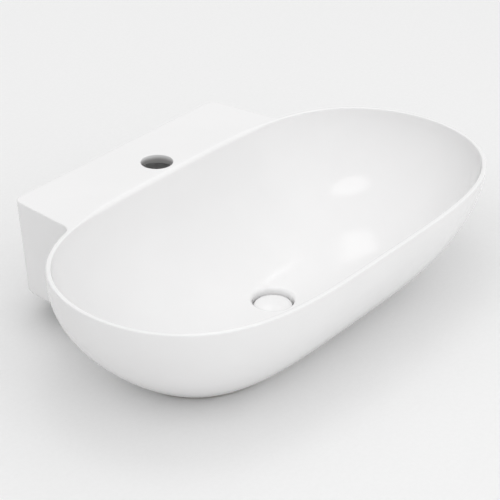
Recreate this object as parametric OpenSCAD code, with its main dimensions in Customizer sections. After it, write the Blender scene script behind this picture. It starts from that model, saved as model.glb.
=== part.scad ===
// Oval countertop basin in glazed ceramic, with a tap ledge behind the bowl and a
// push-open waste whose cap closes the mouth of the waste hole.
// The origin is on the waste's axis, in the plane of the worktop. +Z is up, +Y is towards the wall.

/* [Bowl] */
// Width of the bowl across its rim
bowl_w = 560; // [460:5:680]
// Depth of the bowl across its rim, front to back
bowl_d = 290; // [240:5:350]
// Height of the rim above the worktop
bowl_h = 140; // [115:1:175]
// Height of the bowl's floor above the worktop, beside the waste
floor_z = 27; // [25:0.5:32]
// Angle at which the bowl's floor falls towards the waste
floor_fall = 2; // [0:0.25:3]
// Thickness of the free rim
rim_t = 5; // [4:0.5:10]
// Rounding of the rim and of the ledge's outer edges
edge_r = 1.5; // [1:0.25:2]
// Rounding where the ledge runs down into the bowl
ledge_lip_r = 5; // [3:0.5:6]
// How far the waste lies behind the centre of the bowl
waste_back = 6; // [0:1:20]

/* [Foot] */
// Width of the foot
foot_w = 356; // [280:2:400]
// Depth of the foot, front to back
foot_d = 150; // [130:2:180]
// How far the foot's centre lies behind the centre of the bowl
foot_back = 15; // [0:1:25]
// Width of the band that the basin stands on
foot_band = 16; // [10:1:20]
// Depth of the recess inside the foot
foot_recess = 15; // [8:1:16]

/* [Ledge] */
// Distance from the bowl's rim to the back face
ledge_depth = 80; // [70:1:110]
// Width of the ledge at its back face
ledge_w = 320; // [260:5:385]
// Angle at which each side of the ledge opens towards the front
ledge_flare = 5.7; // [0:0.1:8]
// Height of the ledge's lower edge above the worktop
ledge_gap = 24; // [15:1:50]
// Angle at which each side leans in towards its lower edge
ledge_draft = 4; // [0:0.5:6]
// Thickness of the ledge's top plate
ledge_t = 10; // [8:0.5:14]
// Thickness of the ledge's side and back walls
ledge_wall = 9; // [7:0.5:12]
// Length over which a back corner is rounded off
corner_blend = 15; // [8:1:24]
// Length over which a side runs into the bowl
side_blend = 11; // [6:1:20]
// Rounding of the ledge's lower edge
lower_edge_r = 8; // [4:1:12]

/* [Tap hole] */
// Diameter of the tap hole
tap_hole_d = 35; // [32:0.5:38]
// Distance from the bowl's rim to the tap hole's centre
tap_set_back = 22; // [21:1:40]
// Rounding of the tap hole's upper edge
tap_edge_r = 1; // [0.5:0.25:2]

/* [Waste hole] */
// Diameter of the mouth that the cap sits in
mouth_d = 45; // [44:0.5:54]
// Rounding of the mouth's upper edge
mouth_lip_r = 4; // [3:0.5:6]
// Depth of the mouth, from the bowl's floor to the ledge that carries the waste
mouth_depth = 18.5; // [17:0.5:20]
// Diameter of the boss under the waste hole
boss_d = 72; // [68:1:80]
// Height of the boss's lower face above the worktop
boss_gap = 2; // [1:0.5:4]

/* [Waste] */
// Outer diameter of the waste's threaded shank
shank_d = 36; // [30:0.5:38]
// Wall of the shank
shank_wall = 2.8; // [2:0.2:3.2]
// How far the shank reaches below the worktop
shank_drop = 40; // [36:1:60]
// Thickness of the waste's flange
flange_t = 2.5; // [2:0.25:3.5]
// Thickness of the gasket under the flange
gasket_t = 1.5; // [1:0.25:2.5]
// Depth of the cross that carries the cartridge, below the flange's face
hub_drop = 10.5; // [9.5:0.5:13]
// Height of the cross's hub
hub_h = 14; // [12:1:16]
// Thickness of the cross's arms
arm_w = 3.5; // [2.5:0.25:4.5]
// Outer diameter of the tail pipe
tail_d = 32; // [30:1:34]
// Wall of the tail pipe
tail_wall = 1.5; // [1:0.1:2.5]
// How far the tail pipe reaches below the worktop
tail_drop = 95; // [80:1:160]

/* [Plug] */
// Rise of the plug when it opens
plug_travel = 12; // [8:0.5:12]
// Thickness of the cap at its middle
cap_t = 7.5; // [5:0.25:8.5]
// How far the cap's top falls from its middle to its edge
cap_dome = 1.5; // [0.4:0.1:2]
// Thickness of the metal core under the cap
core_t = 2.2; // [1.8:0.1:2.6]
// Thickness of the rubber seal under the cap
seal_t = 1.8; // [1.2:0.1:2.5]
// Diameter of the plunger's rod
rod_d = 6; // [5:0.25:6.5]
// Outer diameter of the cartridge that guides the plunger
cartridge_d = 16; // [15.5:0.1:19.5]
// Length of the cartridge
cartridge_h = 34; // [33:0.5:38]
// Teeth of the ring that latches the plunger
latch_teeth = 4; // [3:1:4]
// Wire of the cartridge's spring
wire_d = 0.9; // [0.6:0.1:1]
// Turns of the cartridge's spring
spring_turns = 5; // [4:0.5:5]

/* [Under the basin] */
// Outer diameter of the two washers
washer_d = 64; // [56:1:66]
// Thickness of the rubber washer
rubber_t = 4; // [3:0.5:6]
// Thickness of the slip washer
slip_t = 1.5; // [1:0.25:2.5]
// Width of the backnut across its flats
nut_flats = 54; // [48:1:60]
// Height of the backnut
nut_h = 10; // [8:0.5:14]

/* [Hidden] */
$fn = 96;

// Clearances
fit_gap = 0.05;      // between a shaft or thread and the hole that holds it
rest_gap = 0.2;      // between the closed plug and its seat
hole_gap = 0.5;      // between the waste and the ceramic
cap_gap = 1.6;       // between the cap's edge and the mouth
head_gap = 0.6;      // between the plunger's head and the cartridge's wall
cut = 1;             // how far a cutting solid runs past what it cuts
thin = 0.01;         // height of a slab that a hull starts from

// Walls and small edges
cartridge_wall = 2;
hub_wall = 2;
boss_wall = 3.5;     // round the core's thread
boss_h = 5.5;        // of the core's boss below the cap
shoulder = 2;        // of the cartridge above the hub
guide_h = 6;
head_h = 2.8;
tooth_h = 1;
latch_h = 2.4;
collar_h = 5;
spigot_h = 10;
spigot_wall = 1.6;
end_cap_h = 2;
tail_seal_t = 1.5;
bevel = 0.5;

// Heights above the worktop
floor_drop = bowl_h - floor_z;
ledge_h = bowl_h - ledge_gap;
mouth_z = floor_z - mouth_depth;
flange_z = mouth_z + gasket_t;
seat_z = flange_z + flange_t;
seal_z = seat_z + rest_gap;
cap_z = seal_z + seal_t;
hub_top = seat_z - hub_drop;
housing_top = hub_top + shoulder;
housing_z = housing_top - cartridge_h;
chamber_top = housing_top - guide_h;
head_top = chamber_top - plug_travel - rest_gap;
head_z = head_top - head_h;
latch_z = head_z - fit_gap - latch_h;
rod_top = cap_z + core_t - 1;
nut_z = boss_gap - rubber_t - slip_t - nut_h;
collar_z = -shank_drop - tail_seal_t - collar_h;

// Radii
shank_r = shank_d / 2;
shank_bore_r = shank_r - shank_wall;
hole_r = shank_r + hole_gap;
flange_r = mouth_d / 2 - hole_gap;
cap_r = mouth_d / 2 - cap_gap;
core_r = cap_r - 4;
rod_r = rod_d / 2;
boss_r = rod_r + boss_wall;
housing_r = cartridge_d / 2;
chamber_r = housing_r - cartridge_wall;
head_r = chamber_r - head_gap;
hub_r = housing_r + hub_wall;
tail_r = tail_d / 2;
tail_bore_r = tail_r - tail_wall;
lip_outer_r = mouth_d / 2 + mouth_lip_r;
lip_land_r = lip_outer_r + 0.2;

// Places front to back
bowl_y = -waste_back;
rim_y = bowl_y + bowl_d / 2;
back_y = rim_y + ledge_depth;
tap_y = rim_y + tap_set_back;

// Angles of the outside's columns, closer together where the ledge's sides and corners lie
half_turn = concat([for (t = [-90:4:18]) t], [for (t = [20:2:62]) t], [for (t = [66:6:90]) t]);
columns = concat(half_turn, [for (i = [len(half_turn) - 2:-1:1]) 180 - half_turn[i]]);
inner_columns = [for (t = [-90:3:267]) t];

// How fast the walls run in as they go down, and how full they stay: 2 and 2 is an ellipse
inside_w = [1.7, 3.6];
inside_d = [1.5, 3.1];
outside_w = 2;
outside_d = 2.2;
flat_share = 0.9989; // share of the depth at which the bowl's floor turns level

// The rim is the curve (x/a)^4 + (y/b)^2 = 1, here as a distance from its centre
function oval(t, a, b) =
    let (c = pow(cos(t) / a, 4), s = pow(sin(t) / b, 2))
    sqrt(2 / (s + sqrt(s * s + 4 * c)));

// The larger or the smaller of two lengths, blended over the length k where they meet
function blend_max(p, q, k) = max(p, q) + pow(max(k - abs(p - q), 0), 2) / (4 * k);
function blend_min(p, q, k) = min(p, q) - pow(max(k - abs(p - q), 0), 2) / (4 * k);

function smooth(x) = let (u = min(max(x, 0), 1)) u * u * (3 - 2 * u);

// Outside of the bowl at a depth below the rim: half width, half depth and centre
function fall(d) = max(d - edge_r, 0) / (bowl_h - edge_r);
function out_a(d) = bowl_w / 2 - (bowl_w - foot_w) / 2 * pow(fall(d), outside_w);
function out_b(d) = bowl_d / 2 - (bowl_d - foot_d) / 2 * pow(fall(d), outside_d);
function out_y(d) = bowl_y + foot_back * fall(d);

// How much longer a step along the radius is than the same step square to the rim
function slant(t) =
    let (r = oval(t, bowl_w / 2, bowl_d / 2), turn = oval(t + 0.5, bowl_w / 2, bowl_d / 2) - r)
    sqrt(1 + pow(turn / (r * 0.5 * PI / 180), 2));

// The ledge at a depth, as a distance from the bowl's centre there: two sides and the back
function ledge(t, d) =
    let (back = back_y - out_y(d),
         half = ledge_w / 2 - tan(ledge_draft) * d + tan(ledge_flare) * back,
         side = half / (abs(cos(t)) + tan(ledge_flare) * sin(t)))
    sin(t) < 0.02 ? 0 : blend_min(back / sin(t), side, corner_blend);

// One ring of the outside. rim_in and ledge_in draw it in, which rounds an edge.
function outer_ring(d, rim_in = 0, ledge_in = 0, with_ledge = true) =
    [for (t = columns)
        let (bowl = oval(t, out_a(d), out_b(d)),
             r = (with_ledge ? blend_max(bowl, ledge(t, d) - ledge_in, side_blend) : bowl)
                 - rim_in * slant(t))
        [r * cos(t), r * sin(t) + out_y(d), bowl_h - d]];

// Quarter of a circle, as pairs of inset and depth, for rounded edges
function upper_edge(r, steps) =
    [for (i = [0:steps - 1]) let (f = 90 * i / steps) [r * (1 - sin(f)), r * (1 - cos(f))]];
function lower_edge(r, steps) =
    [for (i = [1:steps]) let (f = 90 * i / steps) [r * (1 - cos(f)), r * (1 - sin(f))]];

outer_rings = concat(
    [for (e = upper_edge(edge_r, 3)) outer_ring(e[1], rim_in = e[0])],
    [for (i = [0:8]) outer_ring(edge_r + (ledge_h - lower_edge_r - edge_r) * i / 8)],
    [for (e = lower_edge(lower_edge_r, 3)) outer_ring(ledge_h - e[1], ledge_in = e[0])],
    [for (i = [0:3]) outer_ring(ledge_h + ledge_gap * i / 3, with_ledge = false)]);

bowl_rings = [for (i = [0:12]) outer_ring(bowl_h * i / 12, with_ledge = false)];

// Inside of the bowl at a share s of its depth, as a share of its width or depth at the rim
function inside(s, curve) = pow(1 - pow(s, curve[0]), 1 / curve[1]);

// It closes in on the mouth but never runs into it
function inner_r(t, s) =
    let (a = bowl_w / 2 - rim_t, b = bowl_d / 2 - rim_t,
         rim = oval(t, bowl_w / 2, bowl_d / 2) - rim_t * slant(t),
         wide = rim * oval(t, a * inside(s, inside_w), b * inside(s, inside_d)) / oval(t, a, b))
    pow(pow(wide, 4) + pow(lip_outer_r + 1.5, 4), 1 / 4);

// Rounding of the inner edge: small along the free rim, large along the ledge
function lip_r(t) =
    let (from_back = abs(t - 90))
    edge_r + (ledge_lip_r - edge_r) * smooth((52 - from_back) / 14);

// How far the sloping floor lies above the edge of the waste's mouth
function floor_rise(x, y, s) = tan(floor_fall) * max(norm([x, y]) - lip_outer_r, 0) * pow(s, 6);

function inner_point(t, d, out = 0) =
    let (s = d / floor_drop, r = inner_r(t, min(s, flat_share)) + out,
         x = r * cos(t), y = r * sin(t) + bowl_y + waste_back * s)
    [x, y, bowl_h - d + floor_rise(x, y, s)];

wall_steps = concat([for (f = [8:8:72]) f], [77, 81, 84.5]);

inner_rings = concat(
    [[for (t = inner_columns) inner_point(t, 0, lip_r(t) * slant(t)) + [0, 0, cut]]],
    [for (f = [0:22.5:90])
        [for (t = inner_columns)
            inner_point(t, lip_r(t) * (1 - cos(f)), lip_r(t) * (1 - sin(f)) * slant(t))]],
    [for (f = wall_steps)
        [for (t = inner_columns)
            inner_point(t, lip_r(t) + (floor_drop - lip_r(t)) * sin(f))]],
    [[for (t = inner_columns) inner_point(t, floor_drop)]],
    [[for (t = inner_columns) [lip_land_r * cos(t), lip_land_r * sin(t), floor_z]]]);

// Solid through a stack of rings that have the same number of points
module loft(rings) {
    n = len(rings[0]);
    last = len(rings) - 1;
    polyhedron(
        points = [for (ring = rings) each ring],
        faces = concat(
            [[for (i = [n - 1:-1:0]) i]],
            [for (j = [0:last - 1], i = [0:n - 1]) each [
                [j * n + i, j * n + (i + 1) % n, (j + 1) * n + (i + 1) % n],
                [j * n + i, (j + 1) * n + (i + 1) % n, (j + 1) * n + i]]],
            [[for (i = [0:n - 1]) last * n + i]]));
}

// Hollow of the ledge, open below, which stops at the outside of the bowl
module ledge_hollow() {
    corner = 6;
    front_y = bowl_y + bowl_d / 4;
    rear_y = back_y - ledge_wall;
    open = tan(ledge_flare) * (back_y - front_y);
    module slab(d) {
        half = ledge_w / 2 - tan(ledge_draft) * d - ledge_wall;
        translate([0, 0, bowl_h - d])
            linear_extrude(height = thin)
                polygon([[-half + corner, rear_y], [-half, rear_y - corner],
                         [-half - open, front_y], [half + open, front_y],
                         [half, rear_y - corner], [half - corner, rear_y]]);
    }
    difference() {
        hull() {
            slab(ledge_t);
            slab(ledge_h + cut);
        }
        loft(bowl_rings);
    }
}

// Recess inside the foot's band, round the boss under the waste hole
module foot_hollow() {
    draft = 4;
    module slab(z, h, inset) {
        translate([0, out_y(bowl_h), z])
            linear_extrude(height = h)
                polygon([for (t = columns)
                    oval(t, foot_w / 2 - inset, foot_d / 2 - inset) * [cos(t), sin(t)]]);
    }
    difference() {
        hull() {
            slab(-cut, cut, foot_band);
            slab(foot_recess - thin, thin, foot_band + draft);
        }
        translate([0, 0, boss_gap])
            cylinder(h = foot_recess, d1 = boss_d, d2 = boss_d + draft);
    }
}

// The lofts are sampled, so the overall size is set exactly at the end
module casting() {
    resize([bowl_w, bowl_d + ledge_depth, bowl_h])
        difference() {
            loft(outer_rings);
            loft(inner_rings);
            ledge_hollow();
            foot_hollow();
        }
}

module tap_hole() {
    r = tap_hole_d / 2;
    under = bowl_h - ledge_t - cut;
    edge = [for (f = [0:30:90]) [r + tap_edge_r * (1 - cos(f)), bowl_h - tap_edge_r * (1 - sin(f))]];
    translate([0, tap_y, 0])
        rotate_extrude()
            polygon(concat([[0, under], [r, under]], edge,
                           [[r + tap_edge_r, bowl_h + cut], [0, bowl_h + cut]]));
}

module waste_hole() {
    r = mouth_d / 2;
    lip = [for (f = [0:15:90])
        [r + mouth_lip_r * (1 - cos(f)), floor_z - mouth_lip_r * (1 - sin(f))]];
    rotate_extrude()
        polygon(concat([[0, -cut], [hole_r, -cut], [hole_r, mouth_z], [r, mouth_z]], lip,
                       [[r + mouth_lip_r, floor_z + cut], [0, floor_z + cut]]));
}

module basin() {
    color("white")
        difference() {
            casting();
            tap_hole();
            waste_hole();
        }
}

// A ring with a square section
module ring(inner, outer, z, h) {
    translate([0, 0, z])
        difference() {
            cylinder(h = h, r = outer);
            translate([0, 0, -cut])
                cylinder(h = h + 2 * cut, r = inner);
        }
}

// Flanged shank with a cross inside that carries the cartridge
module waste_body() {
    hub_z = hub_top - hub_h;
    sink = 0.5;      // of the arms into the shank's wall
    inset = 2;       // of the arms from the hub's ends
    funnel = 1.2;
    color("silver") {
        difference() {
            union() {
                rotate_extrude()
                    polygon([[shank_bore_r, -shank_drop], [shank_r - bevel, -shank_drop],
                             [shank_r, -shank_drop + bevel], [shank_r, flange_z],
                             [flange_r - bevel, flange_z], [flange_r, flange_z + bevel],
                             [flange_r, seat_z - bevel], [flange_r - bevel, seat_z],
                             [shank_bore_r + funnel, seat_z], [shank_bore_r, seat_z - funnel]]);
                translate([0, 0, hub_z])
                    cylinder(h = hub_h, r = hub_r);
                for (turn = [0, 90])
                    rotate([0, 0, turn])
                        translate([-shank_bore_r - sink, -arm_w / 2, hub_z + inset])
                            cube([2 * (shank_bore_r + sink), arm_w, hub_h - 2 * inset]);
            }
            translate([0, 0, hub_z - cut])
                cylinder(h = hub_h + 2 * cut, r = housing_r + fit_gap);
        }
    }
}

module flange_gasket() {
    color("dimgray")
        ring(shank_r + fit_gap, flange_r, mouth_z, gasket_t);
}

// Shallow dome with a rounded edge and a recess underneath for the core
module plug_cap() {
    top = cap_z + cap_t;
    edge = 2.4;
    core_top = cap_z + core_t;
    color("white")
        rotate_extrude()
            polygon(concat(
                [[0, core_top], [core_r + fit_gap, core_top], [core_r + fit_gap, cap_z],
                 [cap_r - bevel, cap_z], [cap_r, cap_z + bevel]],
                [for (f = [0:18:90])
                    [cap_r - edge * (1 - cos(f)), top - cap_dome - edge * (1 - sin(f))]],
                [for (i = [1:5])
                    let (x = (cap_r - edge) * (1 - i / 5)) [x, top - cap_dome * pow(x / cap_r, 2)]]));
}

// Disc bonded into the cap, with a boss that takes the plunger's thread
module cap_core() {
    color("gold")
        rotate_extrude()
            polygon([[0, rod_top + fit_gap], [rod_r + fit_gap, rod_top + fit_gap],
                     [rod_r + fit_gap, cap_z - boss_h], [boss_r, cap_z - boss_h], [boss_r, cap_z],
                     [core_r, cap_z], [core_r, cap_z + core_t], [0, cap_z + core_t]]);
}

module cap_seal() {
    lip_in = 1.5;
    color("dimgray")
        ring(boss_r + bevel, cap_r - lip_in, seal_z, seal_t);
}

// Sloped teeth round the axis, each a wedge that rises over its width and drops straight
module teeth(gap) {
    w = head_r * 1.1;
    for (i = [0:latch_teeth - 1])
        rotate([90, 0, 360 * i / latch_teeth])
            translate([0, 0, -head_r - cut])
                linear_extrude(height = head_r + cut)
                    polygon([[-w / 2 - gap, 0], [w / 2 + gap, 0], [w / 2 + gap, tooth_h + gap],
                             [w / 2, tooth_h + gap], [-w / 2 - gap, gap]]);
}

// Rod, and a head whose notched lower face turns the latch ring at each push
module plunger() {
    pilot_r = rod_r - 0.5;
    color("gold")
        difference() {
            rotate_extrude()
                polygon([[0, latch_z], [pilot_r, latch_z], [pilot_r, head_z], [head_r, head_z],
                         [head_r, head_top - bevel], [head_r - bevel, head_top],
                         [rod_r, head_top], [rod_r, rod_top - bevel], [rod_r - bevel, rod_top],
                         [0, rod_top]]);
            intersection() {
                translate([0, 0, head_z])
                    teeth(fit_gap);
                ring(pilot_r, head_r + cut, head_z - cut, head_h + cut);
            }
        }
}

// Toothed ring between the plunger's head and the spring, which holds the plug down or lets it rise
module latch_ring() {
    pilot_r = rod_r - 0.5;
    ring_top = latch_z + latch_h;
    color("whitesmoke")
        difference() {
            union() {
                translate([0, 0, latch_z])
                    cylinder(h = latch_h, r = head_r);
                intersection() {
                    translate([0, 0, ring_top - thin])
                        teeth(0);
                    translate([0, 0, latch_z])
                        cylinder(h = latch_h + tooth_h + cut, r = head_r);
                }
            }
            translate([0, 0, latch_z - cut])
                cylinder(h = latch_h + tooth_h + 2 * cut, r = pilot_r + fit_gap);
        }
}

module cartridge_housing() {
    rim = 1.5;
    color("whitesmoke")
        rotate_extrude()
            polygon([[chamber_r, housing_z], [housing_r - bevel, housing_z],
                     [housing_r, housing_z + bevel], [housing_r, hub_top],
                     [housing_r + rim, hub_top], [housing_r + rim, housing_top - bevel],
                     [housing_r + rim - bevel, housing_top], [rod_r + fit_gap, housing_top],
                     [rod_r + fit_gap, chamber_top], [chamber_r, chamber_top]]);
}

// Points of one ring of the wire, at an angle along the coil
function wire_ring(a, rise, coil_r, z0, sides) =
    [for (i = [0:sides - 1])
        let (f = 360 * i / sides, r = coil_r + wire_d / 2 * cos(f))
        [r * cos(a), r * sin(a), z0 + rise * a / 360 + wire_d / 2 * sin(f)]];

module cartridge_spring() {
    room = latch_z - housing_z;
    rise = (room - wire_d - 2 * fit_gap) / spring_turns;
    sides = 6;
    rings = [for (a = [0:30:360 * spring_turns])
        wire_ring(a, rise, chamber_r - wire_d, housing_z + wire_d / 2 + fit_gap, sides)];
    echo(least_gap_between_turns = rise - wire_d);
    color("slategray")
        loft(rings);
}

module cartridge_end_cap() {
    slot_w = 1.6;
    slot_depth = 1;
    color("whitesmoke")
        difference() {
            translate([0, 0, housing_z - end_cap_h])
                cylinder(h = end_cap_h, r = housing_r);
            translate([-housing_r - cut, -slot_w / 2, housing_z - end_cap_h - cut])
                cube([2 * (housing_r + cut), slot_w, cut + slot_depth]);
        }
}

module under_washer() {
    face_bevel = 1;
    low = boss_gap - rubber_t;
    color("dimgray")
        rotate_extrude()
            polygon([[shank_r + fit_gap, low], [washer_d / 2, low],
                     [washer_d / 2, boss_gap - face_bevel], [washer_d / 2 - face_bevel, boss_gap],
                     [shank_r + fit_gap, boss_gap]]);
}

module slip_washer() {
    color("whitesmoke")
        ring(shank_r + hole_gap, washer_d / 2, boss_gap - rubber_t - slip_t, slip_t);
}

// Six-sided nut with a round face that turns on the slip washer
module backnut() {
    face_h = 2;
    color("gold")
        difference() {
            union() {
                translate([0, 0, nut_z])
                    cylinder(h = nut_h - face_h, d = nut_flats / cos(30), $fn = 6);
                translate([0, 0, nut_z + nut_h - face_h])
                    cylinder(h = face_h, d = nut_flats);
            }
            translate([0, 0, nut_z - cut])
                cylinder(h = nut_h + 2 * cut, r = shank_r + fit_gap);
        }
}

module tail_seal() {
    color("dimgray")
        ring(shank_bore_r, shank_r - bevel, -shank_drop - tail_seal_t, tail_seal_t);
}

// Spigot that screws into the shank, a collar that bears on the seal, and the tail itself
module tail_pipe() {
    spigot_r = shank_bore_r - 2 * fit_gap;
    spigot_bore_r = spigot_r - spigot_wall;
    collar_r = max(shank_r, tail_r + bevel);
    collar_top = collar_z + collar_h;
    spigot_top = spigot_h - shank_drop;
    color("silver")
        rotate_extrude()
            polygon([[spigot_bore_r, collar_top], [tail_bore_r, collar_z], [tail_bore_r, -tail_drop],
                     [tail_r - bevel, -tail_drop], [tail_r, bevel - tail_drop], [tail_r, collar_z],
                     [collar_r, collar_z], [collar_r, collar_top], [spigot_r, collar_top],
                     [spigot_r, spigot_top - bevel], [spigot_r - bevel, spigot_top],
                     [spigot_bore_r, spigot_top]]);
}

basin();
waste_body();
flange_gasket();
plug_cap();
cap_core();
cap_seal();
plunger();
latch_ring();
cartridge_housing();
cartridge_spring();
cartridge_end_cap();
under_washer();
slip_washer();
backnut();
tail_seal();
tail_pipe();
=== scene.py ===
import math

import bmesh
import bpy
from mathutils import Matrix, Vector


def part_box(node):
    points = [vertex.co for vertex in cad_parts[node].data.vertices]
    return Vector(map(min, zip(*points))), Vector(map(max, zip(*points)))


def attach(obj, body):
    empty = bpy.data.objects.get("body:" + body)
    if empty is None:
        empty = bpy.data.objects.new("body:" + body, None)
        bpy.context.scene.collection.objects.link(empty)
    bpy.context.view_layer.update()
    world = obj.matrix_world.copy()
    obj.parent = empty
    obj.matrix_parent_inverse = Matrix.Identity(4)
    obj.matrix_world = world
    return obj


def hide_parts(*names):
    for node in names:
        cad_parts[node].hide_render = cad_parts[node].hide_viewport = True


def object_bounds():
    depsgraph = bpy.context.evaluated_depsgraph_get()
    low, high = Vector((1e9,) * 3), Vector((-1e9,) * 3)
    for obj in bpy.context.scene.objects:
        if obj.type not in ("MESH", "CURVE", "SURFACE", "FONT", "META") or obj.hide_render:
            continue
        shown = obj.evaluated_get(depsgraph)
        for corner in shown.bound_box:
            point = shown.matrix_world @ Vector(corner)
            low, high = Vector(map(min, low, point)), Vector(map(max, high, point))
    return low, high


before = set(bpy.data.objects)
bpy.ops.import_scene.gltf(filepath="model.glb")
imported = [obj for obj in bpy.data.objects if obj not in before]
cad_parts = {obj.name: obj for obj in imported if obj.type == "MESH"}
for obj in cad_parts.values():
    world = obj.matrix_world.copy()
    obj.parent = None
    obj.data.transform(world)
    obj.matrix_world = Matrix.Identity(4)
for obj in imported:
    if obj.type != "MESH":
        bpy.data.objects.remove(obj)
cadLow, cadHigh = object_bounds()
print("frame loaded:", len(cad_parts), "nodes,", [round(v, 4) for v in cadHigh - cadLow], "m")


class Wire:
    # a node's output that takes part in Python arithmetic: each step adds one Math node
    def __init__(self, board, socket):
        self.board = board
        self.socket = socket

    def __add__(self, other):
        return self.board.math("ADD", self, other)

    def __sub__(self, other):
        return self.board.math("SUBTRACT", self, other)

    def __rsub__(self, other):
        return self.board.math("SUBTRACT", other, self)

    def __mul__(self, other):
        return self.board.math("MULTIPLY", self, other)

    def __truediv__(self, other):
        return self.board.math("DIVIDE", self, other)

    def __rtruediv__(self, other):
        return self.board.math("DIVIDE", other, self)

    def __pow__(self, other):
        return self.board.math("POWER", self, other)

    def atLeast(self, other):
        return self.board.math("MAXIMUM", self, other)

    def atMost(self, other):
        return self.board.math("MINIMUM", self, other)

    def size(self):
        return self.board.math("ABSOLUTE", self)

    def squared(self):
        return self.board.math("MULTIPLY", self, self)

    def sine(self):
        return self.board.math("SINE", self)

    def cosine(self):
        return self.board.math("COSINE", self)

    __radd__ = __add__
    __rmul__ = __mul__


class Board:
    # wraps a node tree, of a material or of geometry
    def __init__(self, tree):
        self.tree = tree
        self.tree.nodes.clear()

    def plug(self, socket, value):
        for part in value if isinstance(value, list) else [value]:
            if isinstance(part, Wire):
                self.tree.links.new(part.socket, socket)
            else:
                socket.default_value = part

    def add(self, kind, values=None, **settings):
        # the settings come first, because they decide which sockets there are
        node = self.tree.nodes.new(kind)
        for key, value in settings.items():
            setattr(node, key, value)
        for key, value in (values or {}).items():
            self.plug(node.inputs[key], value)
        return node

    def make(self, kind, values=None, output=0, **settings):
        return Wire(self, self.add(kind, values, **settings).outputs[output])

    def math(self, operation, *values):
        return self.make("ShaderNodeMath", dict(enumerate(values)), operation=operation)

    def point(self, x, y, z):
        return self.make("ShaderNodeCombineXYZ", {"X": x, "Y": y, "Z": z})

    def split(self, place):
        node = self.add("ShaderNodeSeparateXYZ", {"Vector": place})
        return [Wire(self, node.outputs[name]) for name in "XYZ"]

    def ramp(self, value, low, high):
        # 0 below low, 1 above high, smooth between
        values = {"Value": value, "From Min": low, "From Max": high}
        return self.make("ShaderNodeMapRange", values, interpolation_type="SMOOTHSTEP")


class GroupBoard(Board):
    # a geometry tree with named inputs and one output of this kind
    def __init__(self, name, output="Geometry"):
        super().__init__(bpy.data.node_groups.new(name, "GeometryNodeTree"))
        self.tree.interface.new_socket(output, in_out="OUTPUT", socket_type="NodeSocket" + output)
        self.entry = self.add("NodeGroupInput")

    def input(self, key, kind="Float"):
        self.tree.interface.new_socket(key, in_out="INPUT", socket_type="NodeSocket" + kind)
        return Wire(self, self.entry.outputs[key])

    def inputs(self, sizes):
        return {key: self.input(key, "Int" if isinstance(value, int) else "Float")
                for key, value in sizes.items()}


def placed(name, data):
    # puts a mesh, a lamp or a camera into the scene
    thing = bpy.data.objects.new(name, data)
    bpy.context.scene.collection.objects.link(thing)
    return thing


def grow(name, board, geometry, sizes, material):
    # runs the tree once on an empty mesh and keeps the plain mesh that comes out
    real = board.make("GeometryNodeRealizeInstances", {"Geometry": geometry})
    painted = board.make("GeometryNodeSetMaterial", {"Geometry": real, "Material": material})
    board.add("NodeGroupOutput", {"Geometry": painted})
    piece = placed(name, bpy.data.meshes.new(name))
    modifier = piece.modifiers.new(name, "NODES")
    modifier.node_group = board.tree
    for item in board.tree.interface.items_tree:
        if item.in_out == "INPUT":
            modifier[item.identifier] = sizes[item.name]
    graph = bpy.context.evaluated_depsgraph_get()
    mesh = bpy.data.meshes.new_from_object(piece.evaluated_get(graph))
    piece.modifiers.clear()
    piece.data = mesh
    return piece


def soften(piece, sharpAngle=38):
    piece.data.shade_smooth()
    piece.data.set_sharp_from_angle(angle=math.radians(sharpAngle))
    return piece


def stands(piece, body, node):
    # the piece takes the place of this CAD node, on its body
    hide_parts(node)
    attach(piece, body)


# Materials

class Look(Board):
    # a material's tree, with the patterns that the materials share
    def __init__(self, name):
        self.material = bpy.data.materials.new(name)
        self.material.use_nodes = True
        super().__init__(self.material.node_tree)
        self.place = self.make("ShaderNodeTexCoord", output="Object")

    def noise(self, scale, detail=3):
        # values from about 0.3 to 0.7, so the callers stretch them
        values = {"Vector": self.place, "Scale": scale, "Detail": detail}
        return self.make("ShaderNodeTexNoise", values)

    def mix(self, share, first, second):
        return self.make("ShaderNodeMix", {0: share, 6: first, 7: second}, 2, data_type="RGBA")

    def bump(self, height, strength, distance, **under):
        values = {"Height": height, "Strength": strength, "Distance": distance, **under}
        return self.make("ShaderNodeBump", values)

    def finish(self, values):
        shader = self.make("ShaderNodeBsdfPrincipled", values)
        self.add("ShaderNodeOutputMaterial", {"Surface": shader})
        return self.material


def spread(share, low, high):
    # turns 0 to 1 into low to high
    return share * (high - low) + low


# in each look, gloss is the lowest and the highest roughness, relief is a bump's strength and height,
# and a pattern's number says how often it changes in a metre
glazeLook = {
    "white": (0.86, 0.857, 0.858, 1),
    "pooled": (0.845, 0.842, 0.843, 1),     # where the glaze is a little thicker
    "body": (0.62, 0.585, 0.53, 1),         # bare fired clay under the foot
    "bodyDark": (0.40, 0.37, 0.33, 1),
    "bodyRoughness": 0.85,
    "bareBelow": 0.0009,
    "bore": (0.35, 0.347, 0.345, 1),        # painted shade on the tap hole's wall: a flat dark grey that stands in for the shadow down the hole
    "boreAt": (0, 0.161),                   # its axis, seen from above
    "boreRadius": 0.0182,
    "boreEdge": 0.0005,
    "boreShadeFrom": 0.1330,                     # the painted shade is full below this height
    "boreShadeTo": 0.1390,                       # and gone above this one
    "gloss": (0.09, 0.13),
    "relief": (0.15, 0.0003),
    "ripple": (0.05, 0.002),                # likewise, for the slow waves
    "drift": 9,
    "waves": 26,
    "pits": 900,
    "grain": 1400,
}


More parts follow.
